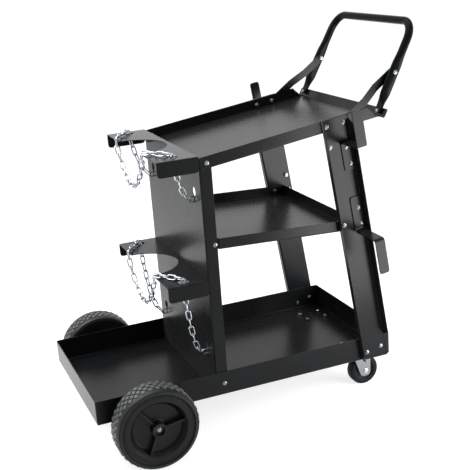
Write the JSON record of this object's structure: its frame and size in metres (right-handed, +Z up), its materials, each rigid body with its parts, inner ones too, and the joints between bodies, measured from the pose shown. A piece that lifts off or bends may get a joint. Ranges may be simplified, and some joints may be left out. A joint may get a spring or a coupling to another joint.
{
  "type": "welding_cart",
  "caption": "Black sheet-steel welding cart with sloping top tray, middle shelf, bottom tray, cylinder cradles with chains, push handle, cable hooks, large wheels and swivel casters",
  "frame": {"origin": "on the floor under the middle of the whole cart", "axes": "+X towards the push handle and casters, +Y across the cart to the side away from the viewer of the picture, +Z up"},
  "size_m": [0.877, 0.6012, 0.9427],
  "materials": {
    "powder_coat": "satin powder coat",
    "zinc": "bright zinc plate",
    "tyre_rubber": "matte moulded rubber",
    "caster_rubber": "matte",
    "hub_plastic": "moulded satin",
    "bush_nylon": "matte"
  },
  "bodies": {
    "frame": {"bottom_tray": "powder_coat", "cylinder_panel": "powder_coat", "upper_cradle": "powder_coat", "lower_cradle": "powder_coat", "top_tray": "powder_coat", "middle_shelf": "powder_coat", "near_post": "powder_coat", "far_post": "powder_coat", "near_upper_hook": "powder_coat", "near_lower_hook": "powder_coat", "far_upper_hook": "powder_coat", "far_lower_hook": "powder_coat", "handle": "powder_coat", "near_brace": "powder_coat", "far_brace": "powder_coat", "axle": "zinc", "near_axle_saddle": "zinc", "far_axle_saddle": "zinc", "near_axle_spacer": "zinc", "far_axle_spacer": "zinc", "near_push_nut": "zinc", "far_push_nut": "zinc", "near_caster_plate": "zinc", "far_caster_plate": "zinc", "near_caster_kingpin": "zinc", "far_caster_kingpin": "zinc", "upper_chain_near_end": "zinc", "upper_chain_far_end": "zinc", "lower_chain_near_end": "zinc", "lower_chain_far_end": "zinc"},
    "near_wheel": {"near_tyre": "tyre_rubber", "near_wheel_hub": "hub_plastic", "near_wheel_bush": "bush_nylon"},
    "far_wheel": {"far_tyre": "tyre_rubber", "far_wheel_hub": "hub_plastic", "far_wheel_bush": "bush_nylon"},
    "near_caster": {"near_caster_fork": "zinc", "near_caster_axle": "zinc"},
    "far_caster": {"far_caster_fork": "zinc", "far_caster_axle": "zinc"},
    "near_caster_wheel": {"near_caster_tyre": "caster_rubber", "near_caster_core": "hub_plastic"},
    "far_caster_wheel": {"far_caster_tyre": "caster_rubber", "far_caster_core": "hub_plastic"},
    "upper_loop": {"upper_chain_loop": "zinc"},
    "lower_loop": {"lower_chain_loop": "zinc"}
  },
  "joints": [
    {"name": "near_wheel_spin", "type": "hinge", "parent": "frame", "child": "near_wheel", "pos_m": [-0.31548, -0.252, 0.1], "axis": [0, 1, 0], "continuous": true},
    {"name": "far_wheel_spin", "type": "hinge", "parent": "frame", "child": "far_wheel", "pos_m": [-0.31548, 0.252, 0.1], "axis": [0, 1, 0], "continuous": true},
    {"name": "near_caster_swivel", "type": "hinge", "parent": "frame", "child": "near_caster", "pos_m": [0.27752, -0.121, 0.097], "axis": [0, 0, 1], "continuous": true},
    {"name": "far_caster_swivel", "type": "hinge", "parent": "frame", "child": "far_caster", "pos_m": [0.27752, 0.121, 0.097], "axis": [0, 0, 1], "continuous": true},
    {"name": "near_caster_roll", "type": "hinge", "parent": "near_caster", "child": "near_caster_wheel", "pos_m": [0.29752, -0.121, 0.04], "axis": [0, 1, 0], "continuous": true},
    {"name": "far_caster_roll", "type": "hinge", "parent": "far_caster", "child": "far_caster_wheel", "pos_m": [0.29752, 0.121, 0.04], "axis": [0, 1, 0], "continuous": true},
    {"name": "upper_loop_swing", "type": "hinge", "parent": "frame", "child": "upper_loop", "pos_m": [-0.24343, 0, 0.67803], "axis": [0, 1, 0], "range_deg": [-45, 85]},
    {"name": "lower_loop_swing", "type": "hinge", "parent": "frame", "child": "lower_loop", "pos_m": [-0.24343, 0, 0.38403], "axis": [0, 1, 0], "range_deg": [-45, 85]}
  ]
}
